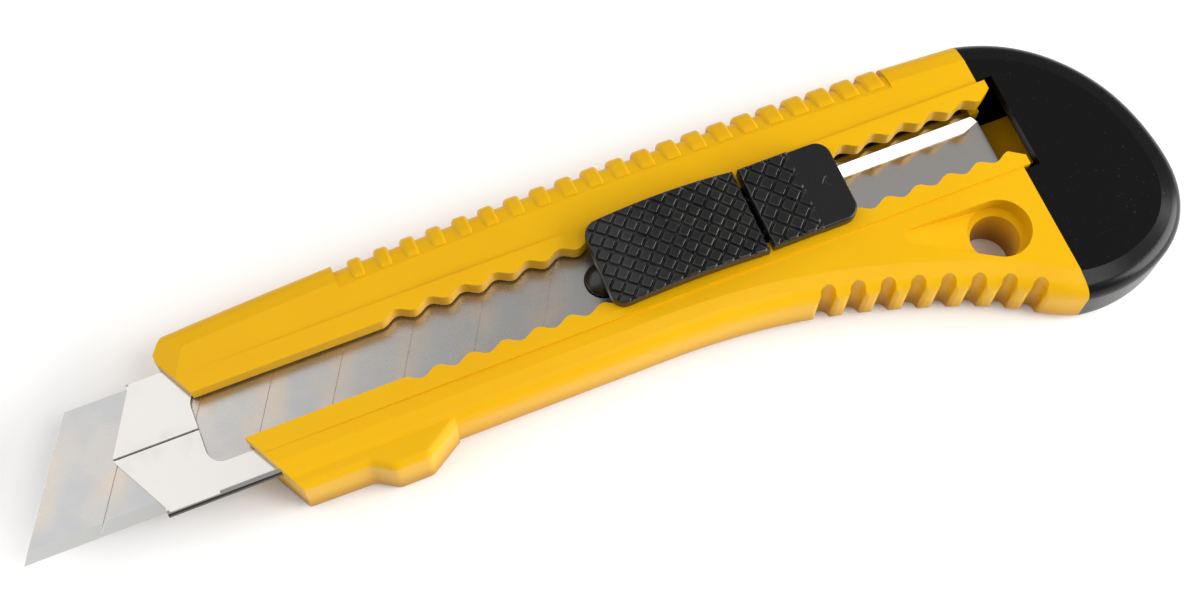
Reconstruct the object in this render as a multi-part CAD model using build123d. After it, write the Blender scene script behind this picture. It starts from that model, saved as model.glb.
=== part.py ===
from build123d import *
import os
from math import atan2, ceil, cos, degrees, pi, radians, tan

os.makedirs("parts", exist_ok=True)

# Working frame: x runs back from the blade tip, y = 0 is the middle of the slot, and z = 0 is the
# top of the two scalloped lips. The last function moves everything to the part's own frame.

# blade (18 mm snap-off)
blade_length = 100.0
blade_width = 18.0
blade_thick = 0.5
blade_top_z = -3.25
segment_pitch = 10.0
segment_count = 8
snap_angle = 60.0
score_depth = 0.15
score_width = 0.22
bevel_width = 1.7
edge_land = 0.06
blade_hole_x = 83.3
blade_hole_r = 2.65

# handle moulding
nose_x = 23.6
nose_upper_y = 10.3
nose_slant = 62.0
handle_end_x = 143.5
back_z = -10.6
face_z = -0.4
spine_front_y = 14.3
spine_mid_y = 16.3
spine_rear_y = 14.7
belly_y = -12.3
belly_flat_end_x = 88.0
heel_y = -27.5
edge_round = 2.4
bevel_in = 3.4
bevel_drop = 0.95
guard_y = -15.25
guard_x = 50.3
guard_length = 4.8
guard_ramp = 4.8
guard_notch = 2.7
guard_round = 1.1
chin_y = -13.45
chin_front_y = -12.75
nose_bevel = 3.2
nose_drop = 0.55
lip_end_x = 144.5
band_half_width = 7.1
band_start_x = 24.0
band_full_x = 62.0
spine_rib_count = 21
spine_rib_pitch = 3.86
spine_rib_start_x = 52.7
spine_rib_depth = 0.95
spine_rib_width = 2.0
spine_rib_growth = 0.9
grip_groove_count = 8
grip_groove_pitch = 4.12
grip_groove_start = 22.5
grip_groove_r = 1.05
grip_groove_in = 0.75
grip_ridge_round = 0.7
lanyard_x = 135.8
lanyard_y = -14.6
lanyard_r = 3.5
pocket_x = 136.3
pocket_y = -14.3
recess_r = 4.3
recess_depth = 2.6
recess_tip_x = 124.6
recess_tip_y = -10.9
recess_tip_r = 1.2
recess_tip_depth = 0.6
recess_slope = 9.0
tongue_length = 7.0
tongue_thick = 1.2
tongue_drop = 1.6

# scalloped slot
scallop_pitch = 4.7
scallop_start_x = 53.1
scallop_count = 19
slot_half = 4.27
scallop_depth = 0.93

# sheet-metal guide rail
sheet = 0.5
rail_half = 9.7
rail_top_z = -2.65
rail_gap = 0.8
rail_nose_x = 14.4
rail_base_x = 18.9
rail_mouth_x = 26.0
rail_mouth_half = 5.45
rail_end_x = 143.4
trough_half = 4.1
trough_floor_z = -6.4
seam_gap = 0.3
fit_gap = 0.05

# slider
button_x = 82.5
button_length = 22.4
button_half = 6.4
button_base_z = 0.25
button_mid_z = 3.5
button_crown = 1.4
button_lift = 0.8
button_corner_r = 2.0
carrier_x = 79.8
carrier_end_x = 118.0
carrier_half = 3.8
run_gap = 0.2
pin_r = 2.5
pin_top_z = -1.2
neck_x = 101.2
neck_end_x = 104.2
neck_top_z = 1.2

# lock piece and detent spring
lock_gap = 0.9
lock_length = 12.9
lock_half = 6.2
lock_pad_z = 2.55
lock_tail_z = 2.15
lock_pad_length = 7.5
lock_corner_r = 2.2
stem_half = 1.4
wedge_half = 2.75
flange_half = 4.8
spring_strip = 0.35
spring_height = 1.5
spring_z = -2.25
detent_reach = 5.5

# end cap
cap_end_x = 163.8
cap_notch_half = 7.5
cap_notch_end_x = 145.9
cap_wall = 1.8
spigot_length = 3.8


def slab(x0, x1, y0, y1, z0, z1):
    """Box between two corners."""
    return Pos((x0 + x1) / 2, (y0 + y1) / 2, (z0 + z1) / 2) * Box(x1 - x0, y1 - y0, z1 - z0)


def prism(points, z0, z1):
    """Straight-sided polygon extruded between two heights."""
    return Pos(0, 0, z0) * extrude(make_face(Polyline(*points, close=True)), z1 - z0)


def soften(solid, x_low, x_high):
    """Slope the face down towards its long edges, then round both rims."""
    def rims(level):
        edges = solid.edges().filter_by(lambda e: abs(e.center().Z - level) < 0.01)
        return edges.filter_by(lambda e: x_low < e.center().X < x_high)

    face = solid.faces().sort_by(Axis.Z)[-1]
    solid = chamfer(rims(face_z), bevel_in, bevel_drop, reference=face)
    outer = solid.edges().filter_by(lambda e: abs(e.center().Z - face_z + bevel_drop) < 0.01)
    solid = fillet(outer.filter_by(lambda e: x_low < e.center().X < x_high), edge_round)
    return fillet(rims(back_z), edge_round)


def spine_level(x):
    """Height of the spine's crowned line at x."""
    half = (handle_end_x - rail_base_x + 4) / 2
    return spine_mid_y - (spine_mid_y - spine_front_y) * ((x - 92.0) / half) ** 2


def grip_curve():
    """Belly line from the end of its straight stretch back to the heel."""
    middle = [(101.0, -13.0), (112.8, -15.1), (124.4, -18.55), (136.4, -23.7)]
    ends = [(belly_flat_end_x, belly_y), (handle_end_x, heel_y)]
    return Spline(ends[0], *middle, ends[1], tangents=[(1, 0), (1, -0.34)])


def handle_outline(lowered):
    """Face seen from above, without the finger guard: crowned spine, flared grip and straight belly."""
    front_x = rail_base_x - 4
    top_front = (front_x, spine_level(front_x) - lowered)
    top_rear = (handle_end_x, spine_rear_y - lowered)
    heel = (handle_end_x, heel_y)
    spine = ThreePointArc(top_front, (92.0, spine_mid_y - lowered), top_rear)
    end = Line(top_rear, heel)
    belly = Line((belly_flat_end_x, belly_y), (front_x, belly_y))
    front = Line((front_x, belly_y), top_front)
    return make_face([spine, end, grip_curve(), belly, front])


def handle_block(lowered):
    """Handle without its ribs, with the spine lowered by some depth."""
    block = Pos(0, 0, back_z) * extrude(handle_outline(lowered), face_z - back_z)
    return soften(block, rail_base_x - 3.9, handle_end_x - 0.1)


def finger_guard():
    """Chin and finger guard: a flat slab along the belly, level with the foot of the face's slope."""
    bump = [(guard_x + guard_length / 2, guard_y), (guard_x - guard_length / 2, guard_y)]
    ramp_x = bump[0][0] + guard_ramp
    notch = (bump[1][0] - guard_notch, chin_y)
    inner_y = belly_y + bevel_in
    outline = Polyline((ramp_x, inner_y), (ramp_x, belly_y), *bump, notch, (notch[0] - 8, chin_y + 0.15),
                       (rail_base_x - 4, chin_front_y), (rail_base_x - 4, inner_y), close=True)
    face = make_face(outline)
    corners = face.vertices().filter_by(lambda v: v.Y < belly_y and v.X > notch[0] - 1)
    face = fillet(corners, 1.6)
    top_z = face_z - bevel_drop
    slab_solid = Pos(0, 0, back_z) * extrude(face, top_z - back_z)
    level = slab_solid.edges().filter_by(lambda e: e.center().Z > top_z - 0.01 or e.center().Z < back_z + 0.01)
    outer = level.filter_by(lambda e: e.center().Y < belly_y + 0.01 and e.center().X > rail_base_x - 3.9)
    return fillet(outer, guard_round)


def nose_cutters():
    """Slanted front of the handle, the clipped corner above it and the bevel behind it."""
    drop = 40.0
    low = (nose_x + drop / tan(radians(nose_slant)), nose_upper_y - drop)
    slant = prism([(nose_x, nose_upper_y), low, (-5, low[1]), (-5, nose_upper_y)], back_z - 1, 10)
    corner_y = nose_upper_y + 1.1
    corner = prism([(nose_x, nose_upper_y - 1), (nose_x, corner_y), (nose_x + 3.3, corner_y + 4.6),
                    (-5, 30), (-5, nose_upper_y - 1)], back_z - 1, 10)
    bevel = Rot(0, -degrees(atan2(nose_drop, nose_bevel)), 0) * slab(-30, 30, -60, 60, 0, 10)
    bevel = Pos(nose_x, nose_upper_y, face_z - nose_drop) * Rot(0, 0, nose_slant - 90) * bevel
    return slant + corner + (bevel & slab(0, nose_x + 18, -40, 40, -5, 10))


def lip_edge(x):
    """Half width of the slot at x: a cosine wave of valleys behind the plain front stretch."""
    phase = 2 * pi * (x - scallop_start_x) / scallop_pitch
    return slot_half + scallop_depth * (1 - cos(phase)) / 2


def slot_face():
    """Slot between the lips, plain in front, scalloped behind, flared at the rear end."""
    steps = scallop_count * 6
    xs = [scallop_start_x + scallop_pitch * i / 6 for i in range(steps + 1)]
    flare = slot_half + 1.4
    upper = Spline(*[(x, lip_edge(x)) for x in xs])
    lower = Spline(*[(x, -lip_edge(x)) for x in xs])
    ends = Polyline((xs[-1], slot_half), (lip_end_x + 0.01, flare), (lip_end_x + 8, flare),
                    (lip_end_x + 8, -flare), (lip_end_x + 0.01, -flare), (xs[-1], -slot_half))
    front = Polyline((xs[0], slot_half), (10.0, slot_half), (10.0, -slot_half), (xs[0], -slot_half))
    return make_face([upper, ends, lower, front])


def wrap_path(sink, reach):
    """Path round a long edge of the handle, from the face down the side to the back, below the skin."""
    top = face_z - sink
    points = [(-bevel_in - reach, top), (-bevel_in, top), (-sink, top - bevel_drop),
              (-sink, back_z + sink), (-bevel_in - reach, back_z + sink)]
    return Plane.YZ * FilletPolyline(*points, radius=edge_round * 0.55)


def spine_rib(x, width):
    """One rib with rounded corners, wrapped round the spine flush with its crowned line."""
    path = wrap_path(1.0, 0.6)
    start = Plane(origin=path @ 0, x_dir=(1, 0, 0), z_dir=path % 0)
    bar = sweep(start * RectangleRounded(width, 2.0, 0.55), path=path)
    return Pos(x, spine_level(x), 0) * bar


def spine_ribs():
    """All the ribs along the spine, each a little wider than the one in front."""
    ribs = []
    for i in range(spine_rib_count):
        width = spine_rib_width + spine_rib_growth * i / (spine_rib_count - 1)
        ribs.append(spine_rib(spine_rib_start_x + spine_rib_pitch * i, width))
    return ribs


def grip_comb():
    """Outline with the finger grooves cut into the grip and the ridges between them rounded."""
    comb = handle_outline(0)
    curve = grip_curve()
    slot = Pos(0, grip_groove_in - 3) * SlotCenterToCenter(6, 2 * grip_groove_r, rotation=90)
    for i in range(grip_groove_count):
        along = grip_groove_start + grip_groove_pitch * i
        point = curve.position_at(along, position_mode=PositionMode.LENGTH)
        run = curve.tangent_at(along, position_mode=PositionMode.LENGTH)
        comb -= Pos(point.X, point.Y) * Rot(0, 0, degrees(atan2(run.Y, run.X))) * slot
    tips = comb.vertices().filter_by(lambda v: belly_flat_end_x < v.X < handle_end_x - 1)
    tips = tips.filter_by(lambda v: v.distance_to(curve) < 0.01)
    return fillet(tips, grip_ridge_round)


def lanyard_cut():
    """Teardrop recess whose floor slopes down to a round pocket with the lanyard hole."""
    tip = Pos(recess_tip_x, recess_tip_y)
    bowl = Pos(pocket_x, pocket_y)
    shape = make_hull((bowl * Circle(recess_r)).edges() + (tip * Circle(recess_tip_r)).edges())
    floor = Rot(0, recess_slope, 0) * slab(-5, 30, -20, 20, 0, 10)
    floor = Pos(recess_tip_x, recess_tip_y, face_z - recess_tip_depth) * floor
    teardrop = Pos(0, 0, face_z - recess_depth) * extrude(shape, 6) & floor
    pocket = Pos(pocket_x, pocket_y, face_z - recess_depth + 6) * Cylinder(recess_r, 12)
    hole = Pos(lanyard_x, lanyard_y, back_z) * Cylinder(lanyard_r, 40)
    return [teardrop, pocket, hole]


def rail_space():
    """Pocket the guide rail is pushed into, a hair wider than the rail."""
    wide = rail_half + fit_gap
    base_z = rail_top_z - 2 * sheet - rail_gap
    flat = slab(5, handle_end_x + 1, -wide, wide, base_z, rail_top_z + fit_gap)
    trough_wide = trough_half + sheet + fit_gap
    return flat + slab(5, handle_end_x + 1, -trough_wide, trough_wide, trough_floor_z - sheet, base_z + 1)


def spigot_boxes(grow):
    """Two pegs of the end cap, grown by a clearance for their sockets."""
    x0 = handle_end_x - spigot_length - grow
    x1 = handle_end_x + 1.5
    upper = slab(x0, x1, 10.9 - grow, 13.0 + grow, -8.0 - grow, -3.4 + grow)
    lower = slab(x0, x1, -23.0 - grow, -19.4 + grow, -8.0 - grow, -3.4 + grow)
    return upper + lower


def lip_band():
    """Raised band of the lips, rising from the nose to its full height."""
    low = rail_top_z + fit_gap
    side = make_face(Polyline((band_start_x, low), (band_start_x, face_z), (band_full_x, 0), (lip_end_x, 0),
                              (lip_end_x, low), close=True))
    return extrude(Plane.XZ * side, band_half_width, both=True)


def make_handle():
    """Handle moulding."""
    zone_start = spine_rib_start_x - spine_rib_pitch * 0.82
    zone_end = zone_start + spine_rib_pitch * spine_rib_count + 1.4
    zone = slab(zone_start, zone_end, 8, 30, back_z - 1, 1)
    body = handle_block(0) - zone + (handle_block(spine_rib_depth) & zone) + finger_guard()
    body += spine_ribs()
    grip = slab(belly_flat_end_x + 12, handle_end_x - 1.5, heel_y - 8, belly_y + 2, back_z - 1, 1)
    body -= grip - Pos(0, 0, back_z) * extrude(grip_comb(), face_z - back_z, dir=(0, 0, 1))
    body += lip_band()
    body -= nose_cutters()
    tongue_top = trough_floor_z - sheet - tongue_drop
    body += slab(handle_end_x - 1, handle_end_x + tongue_length, -trough_half, trough_half,
                 tongue_top - tongue_thick, tongue_top)
    body -= rail_space()
    body -= Pos(0, 0, rail_top_z - 1) * extrude(slot_face(), 8)
    body -= lanyard_cut()
    return body - spigot_boxes(run_gap)


def rail_profile(x0, x1):
    """Hat-section tube for the blade with the slider's trough under it."""
    base_z = rail_top_z - 2 * sheet - rail_gap
    tube = slab(x0, x1, -rail_half, rail_half, base_z, rail_top_z)
    folds = [e for e in tube.edges().filter_by(Axis.X)]
    tube = fillet(ShapeList(folds), sheet * 1.4)
    inner = rail_half - sheet
    wall = trough_half + sheet
    tube += slab(x0, x1, -wall, wall, trough_floor_z - sheet, base_z + sheet)
    tube -= slab(x0 - 1, x1 + 1, -inner, inner, base_z + sheet, rail_top_z - sheet)
    return tube - slab(x0 - 1, x1 + 1, -trough_half, trough_half, trough_floor_z, base_z + sheet + 0.1)


def make_rail():
    """Folded steel rail with two closed flaps over the blade at its nose."""
    rail = rail_profile(rail_base_x, rail_end_x)
    slant = rail_half / tan(radians(nose_slant + 1))
    flap = [(rail_nose_x, 0), (rail_nose_x + slant, rail_half - 0.3), (rail_mouth_x, rail_half - 0.3),
            (rail_mouth_x, -rail_half + 0.3), (rail_nose_x + slant, -rail_half + 0.3)]
    rail += prism(flap, rail_top_z - sheet, rail_top_z)
    window = Rectangle(rail_end_x - rail_mouth_x + 20, 2 * rail_mouth_half)
    window = fillet(window.vertices().group_by(Axis.X)[0], 2.2)
    middle = (rail_end_x + rail_mouth_x + 20) / 2
    rail -= Pos(middle, 0, rail_top_z - sheet - 0.01) * extrude(window, 3)
    rail -= slab(0, rail_mouth_x + 1, -seam_gap / 2, seam_gap / 2, rail_top_z - sheet - 0.01, 1)
    clip = make_face(Polyline((rail_end_x - 3.2, rail_top_z + 1), (rail_end_x, trough_floor_z),
                              (rail_end_x + 5, trough_floor_z), (rail_end_x + 5, rail_top_z + 1), close=True))
    clip = Plane.XZ * clip
    return rail - extrude(clip, 30, both=True)


def make_blade():
    """Snap-off blade: score lines at the snap angle, two ground bevels and a pin hole."""
    half = blade_width / 2
    lean = blade_width / tan(radians(snap_angle))
    low_z = blade_top_z - blade_thick
    outline = [(0, -half), (blade_length - lean, -half), (blade_length, half), (lean, half)]
    blade = prism(outline, low_z, blade_top_z)
    mid_z = blade_top_z - blade_thick / 2
    for side in (1, -1):
        face_level = mid_z + side * blade_thick / 2
        grind = make_face(Polyline((-half - 0.5, mid_z + side * edge_land / 2), (-half - 0.5, mid_z + side),
                                   (-half + bevel_width, mid_z + side), (-half + bevel_width, face_level),
                                   (-half, mid_z + side * edge_land / 2), close=True))
        blade -= Pos(-1, 0, 0) * extrude(Plane.YZ * grind, blade_length + 2)
    groove = Box(score_width, blade_width * 2, score_depth * 2)
    for i in range(1, segment_count):
        x = lean / 2 + segment_pitch * i
        blade -= Pos(x, 0, blade_top_z) * Rot(0, 0, snap_angle - 90) * groove
    return blade - Pos(blade_hole_x, 0, blade_top_z) * Cylinder(blade_hole_r, 3)


def make_carrier():
    """Slider foot that runs in the trough, with the domed blade pin and the neck up to the button."""
    low_z = trough_floor_z + run_gap
    top_z = blade_top_z - blade_thick
    body = slab(carrier_x, carrier_end_x, -carrier_half, carrier_half, low_z, top_z)
    body = fillet(body.edges().filter_by(Axis.Z), 1.2)
    straight = blade_top_z + 0.5 - top_z
    body += Pos(blade_hole_x, 0, top_z + straight / 2) * Cylinder(pin_r, straight)
    rise = pin_top_z - (blade_top_z + 0.5)
    ball_r = (pin_r ** 2 + rise ** 2) / (2 * rise)
    ball = Pos(blade_hole_x, 0, pin_top_z - ball_r) * Sphere(ball_r)
    body += ball & slab(button_x - 9, blade_hole_x + 9, -9, 9, blade_top_z + 0.49, 1)
    return body + slab(neck_x, neck_end_x, -carrier_half, carrier_half, top_z - 0.5, neck_top_z)


def arch_drum(mid_z, crown):
    """Drum across the slider whose top is an arch that falls by the crown at both ends of the pad."""
    arch_r = (button_length / 2) ** 2 / (2 * crown) + crown / 2
    drum = Rot(90, 0, 0) * Cylinder(arch_r, 4 * button_half)
    return Pos(button_x + button_length / 2, 0, mid_z - arch_r) * drum


def make_button():
    """Front thumb piece: a plate arched along its length, with a pocket for the carrier's neck."""
    end_x = button_x + button_length
    pad = slab(button_x, end_x, -button_half, button_half, button_base_z, button_mid_z + 1)
    pad &= arch_drum(button_mid_z, button_crown)
    pad -= arch_drum(button_base_z + button_lift, button_lift)
    pad = fillet(pad.edges().filter_by(Axis.Z).group_by(Axis.X)[0], button_corner_r)
    rim_z = button_mid_z - button_crown - 0.35
    pad = chamfer(ShapeList([e for e in pad.edges() if e.center().Z > rim_z]), 0.3)
    pocket = slab(neck_x - fit_gap, neck_end_x + fit_gap, -carrier_half - fit_gap, carrier_half + fit_gap,
                  button_base_z - 1, neck_top_z + fit_gap)
    return pad - pocket


def lock_start_x():
    """Front end of the rear lock piece."""
    return button_x + button_length + lock_gap


def make_lock():
    """Top of the rear lock piece: raised pad in front, plain tail behind."""
    x0 = lock_start_x()
    x1 = x0 + lock_length
    plate = slab(x0, x1, -lock_half, lock_half, button_base_z, lock_tail_z)
    plate = fillet(plate.edges().filter_by(Axis.Z).group_by(Axis.X)[-1], lock_corner_r)
    rim = [e for e in plate.edges().group_by(Axis.Z)[-1] if e.center().X > x0 + 0.1]
    plate = chamfer(ShapeList(rim), 0.35)
    plate += slab(x0, x0 + lock_pad_length, -lock_half, lock_half, button_base_z, lock_pad_z)
    return chamfer(plate.edges().group_by(Axis.Z)[-1], 0.25)


def make_lock_foot():
    """Foot snapped under the lock piece: stem in the slot, wedge by the spring, flange under the lips."""
    x0 = lock_start_x() + 3.4
    x1 = lock_start_x() + lock_length - 1.0
    under = rail_top_z - 0.25
    low = under - 0.65
    wedge_x = detent_x() + 3.1
    stem = slab(x0, x1, -stem_half, stem_half, low, button_base_z)
    wedge = slab(wedge_x, x1, -wedge_half, wedge_half, low, button_base_z)
    flange = slab(x0, x1, -flange_half, flange_half, low, under)
    return stem + wedge + flange


def detent_x():
    """First valley of the scallops far enough behind the neck for the spring's bumps."""
    valleys = ceil((neck_end_x + detent_reach - scallop_start_x) / scallop_pitch - 0.5)
    return scallop_start_x + scallop_pitch * (valleys + 0.5)


def make_spring():
    """Hairpin leaf whose two rounded bumps click into the scallops."""
    x = detent_x()
    arm_y = 3.2
    bump_y = slot_half + scallop_depth - spring_strip / 2 - 0.12
    root_x = neck_end_x + spring_strip / 2 + fit_gap
    bump = [(x - 2.4, arm_y), (x, bump_y), (x + 1.9, arm_y + 0.25)]
    upper = Spline((root_x + 1.5, arm_y), *bump, (x + 2.6, arm_y),
                   tangents=[(1, 0), (1, -0.2)])
    lower = mirror(upper, Plane.XZ)
    bend = Polyline((root_x + 1.5, arm_y), (root_x, arm_y - 1.2), (root_x, -arm_y + 1.2), (root_x + 1.5, -arm_y))
    strip = trace([upper, bend, lower], line_width=spring_strip)
    return Pos(0, 0, spring_z) * extrude(strip, spring_height)


def cap_outline():
    """Face of the end cap seen from above, started inside the handle so that its rounding runs on."""
    front_x = handle_end_x - 7.5
    top = (front_x, spine_rear_y + 0.6)
    heel = (front_x, heel_y + 3.6)
    edge = Spline(top, (handle_end_x, spine_rear_y), (151.4, 11.6), (157.2, 6.6), (161.6, -0.6),
                  (cap_end_x - 0.1, -9.4), (cap_end_x - 0.4, -16.6), (160.0, -22.8), (153.0, -26.9),
                  (handle_end_x, heel_y), heel)
    return make_face([edge, Line(heel, top)])


def make_cap():
    """Black end cap: hollow shell with the notch that the slot runs into and two pegs."""
    cap = Pos(0, 0, back_z) * extrude(cap_outline(), face_z - back_z)
    cap = soften(cap, handle_end_x - 7.4, cap_end_x)
    x0 = handle_end_x
    cap -= slab(x0 - 20, x0, -50, 50, back_z - 1, 1)
    low = back_z + cap_wall
    high = face_z - cap_wall
    cap -= slab(x0 - 1, x0 + 9, -18.5, 9.0, low, high)
    cap -= slab(x0 + 8, x0 + 15, -18.5, -1.0, low, high)
    cap -= slab(x0 - 1, x0 + tongue_length + 0.5, -trough_half - run_gap, trough_half + run_gap,
                trough_floor_z - sheet - tongue_drop - tongue_thick - run_gap, face_z - cap_wall)
    cap -= slab(x0 - 1, cap_notch_end_x, -cap_notch_half, cap_notch_half, trough_floor_z, 2)
    return cap + (spigot_boxes(0) & slab(0, x0 + 1.5, -40, 40, -20, 5))


def export_all():
    """Move the assembly to the centre of its own base and write each piece."""
    pieces = {"handle_shell": make_handle(), "guide_rail": make_rail(), "blade": make_blade(),
              "blade_carrier": make_carrier(), "slider_button": make_button(), "lock_button": make_lock(),
              "lock_foot": make_lock_foot(), "detent_spring": make_spring(), "end_cap": make_cap()}
    box = Compound([body for shape in pieces.values() for body in shape.solids()]).bounding_box()
    shift = Vector((box.min.X + box.max.X) / 2, (box.min.Y + box.max.Y) / 2, box.min.Z)
    print("shift", shift.X, shift.Y, shift.Z)
    for name, shape in pieces.items():
        print(name, "solids", len(shape.solids()), "volume", round(shape.volume, 1), "valid", shape.is_valid)
        export_step(Pos(-shift.X, -shift.Y, -shift.Z) * shape, f"parts/{name}.step")


export_all()
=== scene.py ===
import math

import bpy
import numpy as np
from mathutils import Matrix, Vector


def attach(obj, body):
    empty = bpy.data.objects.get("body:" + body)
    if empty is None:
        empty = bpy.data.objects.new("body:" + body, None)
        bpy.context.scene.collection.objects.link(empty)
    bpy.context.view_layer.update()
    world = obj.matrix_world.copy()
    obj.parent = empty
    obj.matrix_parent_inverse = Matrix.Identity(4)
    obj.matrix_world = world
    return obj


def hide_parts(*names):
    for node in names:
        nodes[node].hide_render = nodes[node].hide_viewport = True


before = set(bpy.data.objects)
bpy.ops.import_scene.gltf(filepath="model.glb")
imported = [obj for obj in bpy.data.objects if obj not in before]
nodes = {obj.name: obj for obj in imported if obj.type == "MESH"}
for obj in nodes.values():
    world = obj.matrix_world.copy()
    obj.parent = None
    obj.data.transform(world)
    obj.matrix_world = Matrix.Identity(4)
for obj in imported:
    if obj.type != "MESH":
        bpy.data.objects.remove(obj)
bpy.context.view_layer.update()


# ---- Handle -------------------------------------------------------------------------------------
# One yellow ABS injection moulding: nose, scalloped slot, ribbed spine and grooved grip. The mould
# steel is finely blasted, so the skin is semi-gloss with a faint grain, and handling scuffs it lightly.

MM = 0.001
SHADE_HEIGHT = 6.0 * MM
YELLOW = (0.700, 0.385, 0.001, 1)
DEEP_YELLOW = (0.675, 0.356, 0.001, 1)
SHADE_YELLOW = (0.300, 0.120, 0.001, 1)
SCUFF_YELLOW = (0.720, 0.425, 0.030, 1)


class Socket:
    """An output socket of a material's tree. Arithmetic on it adds Math nodes; node() adds any other."""

    def __init__(self, tree, output=None):
        self.tree = tree
        self.output = output

    def node(self, kind, settings, sockets, out=0):
        """Adds a shader node: its settings first, then its input sockets, each a value or a Socket."""
        made = self.tree.nodes.new("ShaderNode" + kind)
        for name, value in settings.items():
            setattr(made, name, value)
        for name, value in sockets.items():
            if isinstance(value, Socket):
                self.tree.links.new(value.output, made.inputs[name])
            else:
                made.inputs[name].default_value = value
        return Socket(self.tree, made.outputs[out] if made.outputs else None)

    def math(self, operation, *values):
        return self.node("Math", {"operation": operation}, dict(enumerate(values)))

    def __add__(self, other):
        return self.math("ADD", self, other)

    def __sub__(self, other):
        return self.math("SUBTRACT", self, other)

    def __rsub__(self, other):
        return self.math("SUBTRACT", other, self)

    def __mul__(self, other):
        return self.math("MULTIPLY", self, other)

    __radd__ = __add__
    __rmul__ = __mul__

    def step(self, low, high):
        """Smooth 0 to 1 as the value rises from low to high (or falls, if low is above high)."""
        settings = {"interpolation_type": "SMOOTHSTEP"}
        return self.node("MapRange", settings, {"Value": self, "From Min": low, "From Max": high})

    def noise(self, position, scale, detail=3.0, roughness=0.5):
        """Fractal noise of features about 1/scale metres wide, 0 to 1."""
        sockets = {"Vector": position, "Scale": scale, "Detail": detail, "Roughness": roughness}
        return self.node("TexNoise", {}, sockets)

    def along(self, position, axis):
        """One coordinate of a position: "X", "Y" or "Z"."""
        return self.node("SeparateXYZ", {}, {"Vector": position}, out=axis)

    def stretch(self, position, scale, turn=0.0):
        """The position scaled by three factors and turned about Z, for streaks and scratches."""
        return self.node("Mapping", {}, {"Vector": position, "Scale": scale, "Rotation": (0, 0, turn)})

    def blend(self, amount, first, second):
        """Colour between the first and the second."""
        return self.node("Mix", {"data_type": "RGBA"}, {0: amount, 6: first, 7: second}, out=2)


def new_material(name):
    """An empty material, with a Socket to build from and the position on the piece."""
    material = bpy.data.materials.new(name)
    material.use_nodes = True
    material.node_tree.nodes.clear()
    start = Socket(material.node_tree)
    return material, start, start.node("TexCoord", {}, {}, out="Object")


def surface(start, relief, depth, **sockets):
    """Principled surface with a bump of the given depth in metres, joined to the material's output."""
    bump = start.node("Bump", {}, {"Height": relief, "Distance": depth, "Strength": 1.0})
    named = {name.replace("_", " "): value for name, value in sockets.items()}
    shader = start.node("BsdfPrincipled", {}, {**named, "Normal": bump})
    start.node("OutputMaterial", {}, {"Surface": shader})


def scratches(start, position, turn, length, width, share):
    """Fine straight scratches: noise drawn out along one direction, kept where it is highest."""
    lines = start.noise(start.stretch(position, (1 / length, 1 / width, 1 / width), turn), 1.0, 1.0)
    return lines.step(1 - share, 1 - share + 0.06)


def paint(node, material):
    """Puts the material into a CAD node's own slot."""
    nodes[node].material_slots[0].material = material


def yellow_abs():
    """Yellow skin, tinted darker down its sides to stand in for the shade under a thick body."""
    material, start, at = new_material("yellow_abs")
    flow = start.noise(at, 55.0, 2.0)
    grain = start.noise(at, 5200.0, 2.0)
    cloud = start.noise(at, 420.0, 4.0)
    marks = scratches(start, at, 0.5, 6 * MM, 0.10 * MM, 0.27)
    marks = marks + scratches(start, at, -0.35, 9 * MM, 0.13 * MM, 0.26)
    colour = start.blend(flow.step(0.3, 0.7), DEEP_YELLOW, YELLOW)
    low = start.along(at, "Z").step(SHADE_HEIGHT, 0.0)
    colour = start.blend(low * 0.8, colour, SHADE_YELLOW)
    colour = start.blend(marks * 0.35, colour, SCUFF_YELLOW)
    rough = 0.30 + 0.12 * cloud + 0.10 * marks
    relief = 0.35 * grain + 0.5 * cloud - 0.6 * marks
    surface(start, relief, 0.012 * MM, Base_Color=colour, Roughness=rough, Subsurface_Weight=0.06,
            Subsurface_Radius=(1.0, 0.45, 0.08), Subsurface_Scale=0.6 * MM, Specular_IOR_Level=0.16)
    return material


paint("handle_shell", yellow_abs())


# ---- Guide rail ---------------------------------------------------------------------------------
# One strip of bright rolled stainless, folded into a flat tube for the blade with a trough below it.
# The sheet keeps its mill polish: fine lines along the roll, a few hairlines and wiped smudges.

RAIL_STEEL = (0.595, 0.577, 0.555, 1)
RAIL_SMUDGE = (0.55, 0.53, 0.50, 1)
RAIL_PAINTED_SHADE = (0.035, 0.030, 0.026, 1)
MIDDLE_Y = 5.7645 * MM
RAIL_SIDE = 9.55 * MM


def rail_steel():
    """Bright sheet, with painted shade: the outer face of its near fold is coloured nearly black."""
    material, start, at = new_material("rail_steel")
    rolled = start.noise(start.stretch(at, (60.0, 5200.0, 5200.0)), 1.0, 3.0)
    smudge = start.noise(at, 160.0, 4.0).step(0.5, 0.75)
    hairs = scratches(start, at, 0.12, 14 * MM, 0.06 * MM, 0.24)
    # Painted shade: more than RAIL_SIDE below the middle, the sheet turns nearly black.
    side = (start.along(at, "Y") - MIDDLE_Y).step(0.05 * MM - RAIL_SIDE, -RAIL_SIDE)
    colour = start.blend(smudge * 0.5, RAIL_STEEL, RAIL_SMUDGE)
    colour = start.blend(side, colour, RAIL_PAINTED_SHADE)
    rough = 0.10 + 0.07 * rolled + 0.08 * smudge + 0.12 * hairs
    surface(start, rolled - 0.7 * hairs, 0.0015 * MM, Base_Color=colour, Metallic=1.0, Roughness=rough)
    return material


paint("guide_rail", rail_steel())


# ---- Blade --------------------------------------------------------------------------------------
# Hardened carbon steel strip, scored into break-off segments and ground on both sides of its edge.
# Its faces are surface-ground and lightly oiled, so each segment carries a soft cloudy film.

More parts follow.
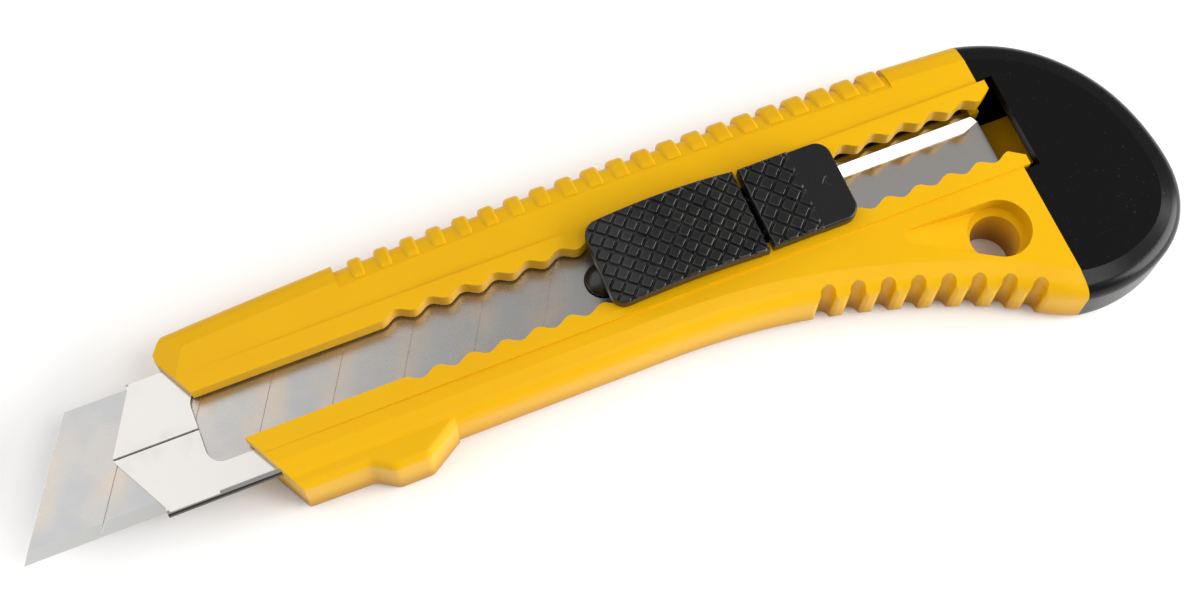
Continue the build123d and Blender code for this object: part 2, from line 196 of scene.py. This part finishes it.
BLADE_PITCH = 10 * MM
BLADE_LEAN = math.tan(math.radians(30.0))
BLADE_EDGE_Y = MIDDLE_Y - 9.0 * MM
BEVEL_WIDTH = 1.7 * MM
BLADE_STEEL = (0.49, 0.475, 0.46, 1)
BLADE_TAN = (0.60, 0.51, 0.42, 1)
BLADE_BLUE = (0.42, 0.44, 0.47, 1)
BEVEL_STEEL = (0.56, 0.56, 0.55, 1)


def blade_steel():
    """Ground steel: a warm cloudy patch in each slanted segment, and cross-ground bevels at the edge."""
    material, start, at = new_material("blade_steel")
    y = start.along(at, "Y")
    segment = (start.along(at, "X") - (y - MIDDLE_Y) * BLADE_LEAN) * (1 / BLADE_PITCH)
    cell = start.math("FRACT", segment + start.noise(at, 140.0, 2.0) * 0.4)
    patch = cell.step(0.10, 0.50) * cell.step(0.95, 0.55)
    middle = start.math("ABSOLUTE", y - MIDDLE_Y)
    patch = patch * middle.step(7.5 * MM, 2.0 * MM)
    cloud = start.noise(at, 210.0, 4.0)
    grind = start.noise(start.stretch(at, (160.0, 7000.0, 7000.0)), 1.0, 2.0)
    cross = start.noise(start.stretch(at, (9000.0, 220.0, 220.0), -0.09), 1.0, 2.0)
    bevel = (y - BLADE_EDGE_Y - BEVEL_WIDTH).step(0.05 * MM, -0.05 * MM)
    colour = start.blend(cloud.step(0.35, 0.7) * 0.6, BLADE_STEEL, BLADE_BLUE)
    colour = start.blend(patch * cloud.step(0.3, 0.6) * 0.8, colour, BLADE_TAN)
    colour = start.blend(bevel, colour, BEVEL_STEEL)
    rough = 0.20 + 0.10 * cloud + 0.06 * grind + 0.10 * bevel * cross
    relief = grind * (1 - bevel) + 1.6 * cross * bevel
    surface(start, relief, 0.0008 * MM, Base_Color=colour, Metallic=1.0, Roughness=rough)
    return material


paint("blade", blade_steel())


# ---- Slider foot and pin ------------------------------------------------------------------------
# Black acetal moulding that runs in the rail's trough, with a glossy domed pin through the blade.
# The foot under the rear lock is the same stock, and both are polished by sliding on the steel.

ACETAL_BLACK = (0.0065, 0.0062, 0.0060, 1)
ACETAL_WORN = (0.018, 0.017, 0.016, 1)


def acetal_black():
    material, start, at = new_material("carrier_black")
    cloud = start.noise(at, 600.0, 4.0)
    rubbed = scratches(start, at, 0.0, 5 * MM, 0.08 * MM, 0.28)
    colour = start.blend(rubbed * 0.7, ACETAL_BLACK, ACETAL_WORN)
    rough = 0.20 + 0.12 * cloud + 0.15 * rubbed
    surface(start, cloud - rubbed, 0.004 * MM, Base_Color=colour, Roughness=rough)
    return material


carrier_black = acetal_black()
paint("blade_carrier", carrier_black)
paint("lock_foot", carrier_black)


# ---- Thumb slider -------------------------------------------------------------------------------
# Black ABS plate, arched along its length, pressed onto the foot's neck. Square studs moulded in
# diagonal rows cover its top; dust and skin polish mark their rims, which also carry a painted highlight.

PAD_UNDER_LIFT = 0.8 * MM
PAD_CROWN = 1.4 * MM
PAD_CORNER = 2.0 * MM
PAD_EDGE = 0.35 * MM
STUD_DX = 2.48 * MM
STUD_DY = 2.40 * MM
GROOVE_HALF = 0.10 * MM
GROOVE_SLOPE = 0.15 * MM
GROOVE_DEPTH = 0.42 * MM
RIM_WIDTH = 0.10 * MM
STUD_SHIFT = 1.3 * MM
PLAIN_MARGIN = 0.5 * MM
GRID_ACROSS = 170
PLATE_BLACK = (0.0062, 0.0062, 0.0062, 1)
PLATE_DUST_AND_SHEEN = (0.055, 0.054, 0.052, 1)


def extent(node):
    """Lowest and highest corner of a CAD node."""
    corners = np.array(nodes[node].bound_box)
    return corners.min(0), corners.max(0)


pad_low, pad_high = extent("slider_button")
PAD_LENGTH = pad_high[0] - pad_low[0]
PAD_HALF = (pad_high[1] - pad_low[1]) / 2
PAD_BASE_Z = pad_low[2]


def smooth(t):
    """Smooth step: 3t^2 - 2t^3 between 0 and 1."""
    t = np.clip(t, 0, 1)
    return t * t * (3 - 2 * t)


def arch(x, x0, length, rise):
    """Height below the crown of an arc over a plate: rise times the square of the way from its middle."""
    return rise * ((x - x0 - length / 2) / (length / 2)) ** 2


def groove_distance(x, y, dx, dy):
    """Distance from the nearest groove of a diagonal lattice whose studs repeat every dx and dy."""
    pitch = 1 / math.hypot(1 / dx, 1 / dy)
    p, q = x / dx + y / dy, x / dx - y / dy
    return pitch * np.minimum(abs(p - np.round(p)), abs(q - np.round(q)))


def edge_distance(x, y, x0, x1, half, corner_front, corner_rear):
    """Distance inwards from the outline of a plate with rounded front and rear corners."""
    corner = np.where(x < (x0 + x1) / 2, corner_front, corner_rear)
    over_x = np.maximum(np.maximum(x0 + corner - x, x - x1 + corner), 0)
    over_y = np.maximum(abs(y) - half + corner, 0)
    to_side = np.minimum(half - abs(y), np.minimum(x - x0, x1 - x))
    return np.where((over_x > 0) & (over_y > 0), corner - np.hypot(over_x, over_y), to_side)


def edge_drop(inward, radius):
    """Fall of a rounded edge: a quarter circle of the radius, level further in."""
    t = np.clip(1 - inward / radius, 0, 1)
    return radius * (1 - np.sqrt(1 - t * t))


def crowded(count, ends):
    """Numbers from 0 to 1 with their spacing narrowed towards both ends."""
    t = np.linspace(0, 1, count)
    return t - ends * np.sin(2 * math.pi * t) / (2 * math.pi)


def half_width(x, x0, x1, half, corner_front, corner_rear):
    """Half width of the plate at x: full, less a quarter circle at each rounded corner."""
    front = np.clip((x0 + corner_front - x) / max(corner_front, 1e-9), 0, 1)
    rear = np.clip((x - x1 + corner_rear) / max(corner_rear, 1e-9), 0, 1)
    cut = corner_front * (1 - np.sqrt(1 - front ** 2))
    return half - cut - corner_rear * (1 - np.sqrt(1 - rear ** 2))


def plate_mesh(name, xs, across, widths, top, under, walls, rim_dust_and_sheen):
    """Closed shell carried along x: each section runs over the top, down a wall, back under and up."""
    y = across[None, :] * widths[:, None]
    x = np.repeat(xs[:, None], len(across), 1)
    z = top(x, y)
    low = under(xs)[:, None]
    fall = np.linspace(0, 1, walls + 2)[None, 1:]
    right = z[:, -1:] + (low - z[:, -1:]) * fall
    left = z[:, :1] + (low - z[:, :1]) * (1 - fall)
    sides = [np.repeat(y[:, -1:], walls + 1, 1), np.repeat(y[:, :1], walls + 1, 1)]
    ring_y = np.concatenate([y, *sides], 1)
    ring_z = np.concatenate([z, right, left], 1)
    around = ring_y.shape[1]
    ring_x = np.repeat(xs[:, None], around, 1)
    points = np.stack([ring_x, ring_y + MIDDLE_Y, ring_z], -1).reshape(-1, 3)
    i, j = np.meshgrid(np.arange(len(xs) - 1), np.arange(around), indexing="ij")
    k = (j + 1) % around
    quads = np.stack([i * around + j, (i + 1) * around + j, (i + 1) * around + k, i * around + k], -1)
    first = list(range(around))
    last = [(len(xs) - 1) * around + n for n in reversed(first)]
    mesh = bpy.data.meshes.new(name)
    mesh.from_pydata(points.tolist(), [], quads.reshape(-1, 4).tolist() + [first, last])
    mesh.shade_smooth()
    mesh.set_sharp_from_angle(angle=math.radians(50))
    rim = np.zeros((len(xs), around))
    # Per-point rim mask: dust and a painted highlight along the stud rims.
    rim[:, :len(across)] = rim_dust_and_sheen(x, y)
    mesh.attributes.new("rim_dust_and_sheen", "FLOAT", "POINT").data.foreach_set("value", rim.ravel())
    made = bpy.data.objects.new(name, mesh)
    bpy.context.scene.collection.objects.link(made)
    return made


def stud_relief(x, y, dx, dy):
    """Depth below the stud tops: level studs, sloped walls and flat groove floors."""
    away = groove_distance(x, y, dx, dy)
    return GROOVE_DEPTH * (1 - smooth((away - GROOVE_HALF) / GROOVE_SLOPE))


def stud_rim_dust_and_sheen(x, y, dx, dy):
    """Dust, polish and a painted highlight along the studs' rims: a bell over the distance from the
    groove.
    """
    away = groove_distance(x, y, dx, dy)
    rim = (away - GROOVE_HALF - GROOVE_SLOPE) / RIM_WIDTH
    return np.exp(-rim ** 2)


def slider_pad():
    """The arched thumb plate, studded all over its top."""
    x0, x1 = pad_low[0], pad_high[0]
    xs = x0 + PAD_LENGTH * crowded(290, 0.35)
    outline = (x0, x1, PAD_HALF, PAD_CORNER, 0.0)

    def top(x, y):
        inward = edge_distance(x, y, *outline)
        studs = stud_relief(x - x0 - STUD_SHIFT, y, STUD_DX, STUD_DY) * smooth(inward / PLAIN_MARGIN)
        return pad_high[2] - arch(x, x0, PAD_LENGTH, PAD_CROWN) - edge_drop(inward, PAD_EDGE) - studs

    def under(x):
        return PAD_BASE_Z + PAD_UNDER_LIFT - arch(x, x0, PAD_LENGTH, PAD_UNDER_LIFT)

    # Dust and painted highlight along the stud rims.
    def rim_dust_and_sheen(x, y):
        return stud_rim_dust_and_sheen(x - x0 - STUD_SHIFT, y, STUD_DX, STUD_DY)

    across = 2 * crowded(GRID_ACROSS, 0.35) - 1
    widths = half_width(xs, *outline)
    return plate_mesh("slider_button_knurled", xs, across, widths, top, under, 3, rim_dust_and_sheen)


def plate_black(name):
    material, start, at = new_material(name)
    rim_dust_and_sheen = start.node("Attribute", {"attribute_name": "rim_dust_and_sheen"}, {}, out="Fac")
    cloud = start.noise(at, 500.0, 4.0)
    grain = start.noise(at, 9000.0, 2.0)
    specks = start.noise(at, 3400.0, 1.0).step(0.70, 0.76)
    # Lighter rims: partly dust, partly a painted highlight; the specks are dust.
    dust_and_sheen = rim_dust_and_sheen * cloud.step(0.25, 0.7) * 0.75 + specks * 0.18
    colour = start.blend(dust_and_sheen, PLATE_BLACK, PLATE_DUST_AND_SHEEN)
    rough = 0.26 + 0.10 * cloud - 0.04 * rim_dust_and_sheen
    surface(start, 0.5 * grain + 0.5 * cloud, 0.010 * MM, Base_Color=colour, Roughness=rough,
            Specular_IOR_Level=0.35)
    return material


slider = slider_pad()
slider.data.materials.append(plate_black("button_black"))
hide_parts("slider_button")
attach(slider, "carriage")


# ---- Rear lock ----------------------------------------------------------------------------------
# Second black ABS plate behind the thumb slider, snapped to its own foot: a coarser studded pad in
# front and a lower plain tail with an arrow for the way it locks.

lock_low, lock_high = extent("lock_button")
LOCK_X = pad_high[0] + 0.65 * MM
LOCK_LENGTH = lock_high[0] - LOCK_X
LOCK_HALF = (lock_high[1] - lock_low[1]) / 2
LOCK_PAD_LENGTH = 7.5 * MM
LOCK_PAD_Z = lock_high[2]
LOCK_TAIL_Z = LOCK_PAD_Z - 0.4 * MM
PAD_STEP = 0.25 * MM
LOCK_CORNER = 2.2 * MM
LOCK_STUD_DX = 2.75 * MM
LOCK_STUD_DY = 2.76 * MM
LOCK_STUD_SHIFT = 1.5 * MM
ARROW_X = LOCK_X + 10.2 * MM
ARROW_HALF = 0.75 * MM
ARROW_SLANT = 0.9
ARROW_BAND = 0.22 * MM
ARROW_DEPTH = 0.10 * MM


def arrow_relief(x, y):
    """Shallow chevron in the tail: a band along two lines that meet at its tip."""
    off = abs(x - ARROW_X - ARROW_SLANT * abs(y))
    inside = (abs(y) < ARROW_HALF) & (off < ARROW_BAND)
    return np.where(inside, ARROW_DEPTH, 0.0)


def lock_pad():
    """The lock plate: pad level, a soft step, then the tail level, with its rear corners rounded."""
    x0, x1 = LOCK_X, LOCK_X + LOCK_LENGTH
    xs = x0 + LOCK_LENGTH * crowded(190, 0.35)
    outline = (x0, x1, LOCK_HALF, 0.0, LOCK_CORNER)

    def on_pad(x):
        return smooth((x0 + LOCK_PAD_LENGTH - x) / PAD_STEP)

    def top(x, y):
        inward = edge_distance(x, y, *outline)
        level = LOCK_TAIL_Z + (LOCK_PAD_Z - LOCK_TAIL_Z) * on_pad(x)
        studs = stud_relief(x - x0 - LOCK_STUD_SHIFT, y, LOCK_STUD_DX, LOCK_STUD_DY)
        studs = studs * on_pad(x) * smooth(inward / PLAIN_MARGIN)
        return level - edge_drop(inward, PAD_EDGE) - studs - arrow_relief(x, y)

    def under(x):
        return np.full_like(x, PAD_BASE_Z)

    # Dust and painted highlight on the rims of the pad's studs only.
    def rim_dust_and_sheen(x, y):
        return stud_rim_dust_and_sheen(x - x0 - LOCK_STUD_SHIFT, y, LOCK_STUD_DX, LOCK_STUD_DY) * on_pad(x)

    across = 2 * crowded(GRID_ACROSS, 0.35) - 1
    widths = half_width(xs, *outline)
    return plate_mesh("lock_button_knurled", xs, across, widths, top, under, 3, rim_dust_and_sheen)


lock = lock_pad()
lock.data.materials.append(plate_black("lock_black"))
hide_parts("lock_button")
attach(lock, "lock")


# ---- Detent spring ------------------------------------------------------------------------------
# Hairpin of blank spring strip round the slider's neck, whose two bumps click into the scallops.
# Rolled and blued slightly by tempering, it is bright where it rubs.

SPRING_STEEL = (0.46, 0.46, 0.48, 1)
SPRING_TEMPER = (0.36, 0.33, 0.30, 1)


def spring_steel():
    material, start, at = new_material("spring_steel")
    rolled = start.noise(start.stretch(at, (140.0, 140.0, 6000.0)), 1.0, 2.0)
    temper = start.noise(at, 260.0, 3.0).step(0.35, 0.7)
    colour = start.blend(temper, SPRING_STEEL, SPRING_TEMPER)
    surface(start, rolled, 0.002 * MM, Base_Color=colour, Metallic=1.0, Roughness=0.22 + 0.12 * rolled)
    return material


paint("detent_spring", spring_steel())


# ---- End cap ------------------------------------------------------------------------------------
# Glossy black ABS shell pushed into the handle's rear end on two pegs. Its polished skin has fine
# handling scratches and specks of dust.

CAP_BLACK = (0.0018, 0.0018, 0.0018, 1)
CAP_DUST = (0.045, 0.044, 0.042, 1)


def cap_black():
    material, start, at = new_material("cap_black")
    cloud = start.noise(at, 130.0, 4.0)
    specks = start.noise(at, 2600.0, 1.0).step(0.73, 0.78)
    marks = scratches(start, at, 0.9, 10 * MM, 0.07 * MM, 0.24)
    colour = start.blend(specks * 0.4 + marks * 0.10, CAP_BLACK, CAP_DUST)
    rough = 0.20 + 0.08 * cloud + 0.12 * marks
    surface(start, cloud - 0.5 * marks, 0.003 * MM, Base_Color=colour, Roughness=rough,
            Specular_IOR_Level=0.20)
    return material


paint("end_cap", cap_black())


# ---- Table and light ----------------------------------------------------------------------------
# A level white floor to lay the knife on. A wide softbox hangs over its front end and a smaller one over
# the slider's near side, with a low card at the right for the cap's round edge.

FLOOR_Z = -0.0002
FLOOR_SIZE = 3.0
FLOOR_WHITE = (0.97, 0.965, 0.96, 1)
AIM = Vector((-0.0008, 0.0018, 0.0106))


def floor_mesh():
    """Level square just under the knife's back face."""
    side = FLOOR_SIZE / 2
    square = [(-side, -side), (side, -side), (side, side), (-side, side)]
    corners = [(x, y, FLOOR_Z) for x, y in square]
    mesh = bpy.data.meshes.new("floor")
    mesh.from_pydata(corners, [], [(0, 1, 2, 3)])
    made = bpy.data.objects.new("floor", mesh)
    bpy.context.scene.collection.objects.link(made)
    return made


def floor_paper():
    material, start, at = new_material("floor_paper")
    fibre = start.noise(at, 900.0, 3.0)
    surface(start, fibre, 0.004 * MM, Base_Color=FLOOR_WHITE, Roughness=0.8 + 0.1 * fibre)
    return material


def softbox(name, direction, distance, width, height, power):
    """Rectangular light in the given direction from the knife, facing it."""
    light = bpy.data.lights.new(name, "AREA")
    light.shape = "RECTANGLE"
    light.size = width
    light.size_y = height
    light.energy = power
    made = bpy.data.objects.new(name, light)
    made.location = AIM + Vector(direction).normalized() * distance
    made.rotation_euler = Vector(direction).to_track_quat("Z", "Y").to_euler()
    bpy.context.scene.collection.objects.link(made)


floor = floor_mesh()
floor.data.materials.append(floor_paper())
softbox("overhead", (-0.66, 0.34, 0.67), 0.75, 1.10, 1.10, 3.8)
softbox("near_side", (0.36, -0.35, 0.87), 0.70, 0.26, 0.26, 1.0)
softbox("right_card", (0.90, -0.42, 0.35), 0.55, 0.45, 0.35, 4.2)
world = bpy.data.worlds.new("studio")
world.use_nodes = True
room = world.node_tree.nodes["Background"]
room.inputs["Color"].default_value = (1.0, 0.99, 0.975, 1)
room.inputs["Strength"].default_value = 0.47
bpy.context.scene.world = world
bpy.context.scene.view_settings.view_transform = "Standard"


# ---- Camera -------------------------------------------------------------------------------------
# A short portrait lens above the knife and a little to its near side, turned so the knife climbs
# from the lower left to the upper right.

CAMERA_AT = Vector((-0.038896, -0.080526, 0.22927))
CAMERA_LENS = 53.15
CAMERA_UP = Vector((0.3809, 0.9246, 0.0))


def look(location, aim, up):
    """Placement of a camera at a point, looking at another, with its top turned towards up."""
    back = (location - aim).normalized()
    right = up.cross(back).normalized()
    turn = Matrix((right, back.cross(right), back)).transposed()
    return Matrix.Translation(location) @ turn.to_4x4()


camera = bpy.data.objects.new("camera", bpy.data.cameras.new("camera"))
camera.data.lens = CAMERA_LENS
camera.data.clip_start = 0.005
camera.matrix_world = look(CAMERA_AT, AIM, CAMERA_UP)
bpy.context.scene.collection.objects.link(camera)
bpy.context.scene.camera = camera
